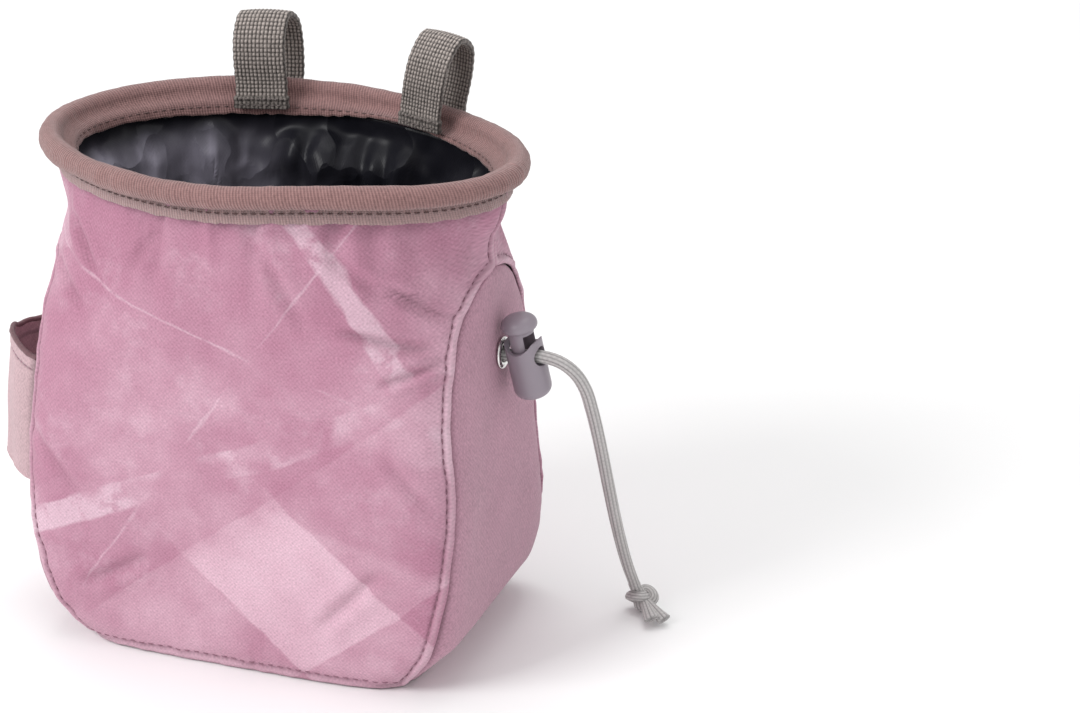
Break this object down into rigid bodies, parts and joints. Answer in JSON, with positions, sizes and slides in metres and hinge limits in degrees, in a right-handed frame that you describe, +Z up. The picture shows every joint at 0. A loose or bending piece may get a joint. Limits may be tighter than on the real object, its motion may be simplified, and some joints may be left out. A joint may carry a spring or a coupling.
{
  "type": "climbing chalk bag",
  "caption": "Soft chalk bag with a stiff round rim, arched side gussets, belt loops, a brush sleeve, and a drawcord held by a sprung cord lock.",
  "frame": {"origin": "middle of the underside of the base, on the floor that the bag stands on", "axes": "+Z up through the mouth, -Y out of the front panel, +X towards the side with the cord lock"},
  "size_m": [0.2012, 0.1062, 0.1752],
  "materials": {
    "printed_cloth": "matt woven polyester with a soft printed wash",
    "gusset_cloth": "matt woven polyester",
    "lining_cloth": "thin nylon with a soft sheen",
    "binding_tape": "ribbed tape",
    "webbing": "coarse woven webbing",
    "sleeve_cloth": "matt woven polyester",
    "eyelet_metal": "polished",
    "lock_plastic": "satin moulded",
    "cord_braid": "braided"
  },
  "bodies": {
    "bag": {"front_panel": "printed_cloth", "back_panel": "printed_cloth", "gusset": "gusset_cloth", "lining": "lining_cloth", "rim_binding": "binding_tape", "belt_loop_left": "webbing", "belt_loop_right": "webbing", "brush_sleeve": "sleeve_cloth", "eyelet": "eyelet_metal", "cord_lock_barrel": "lock_plastic", "drawcord": "cord_braid", "cord_knot": "cord_braid"},
    "plunger": {"cord_lock_plunger": "lock_plastic"}
  },
  "joints": [
    {"name": "plunger_press", "type": "slide", "parent": "bag", "child": "plunger", "axis": [0.1737, 0.1029, -0.9794], "range_m": [0, 0.0032], "stiffness_N_per_m": 300, "springref_m": -0.004}
  ]
}
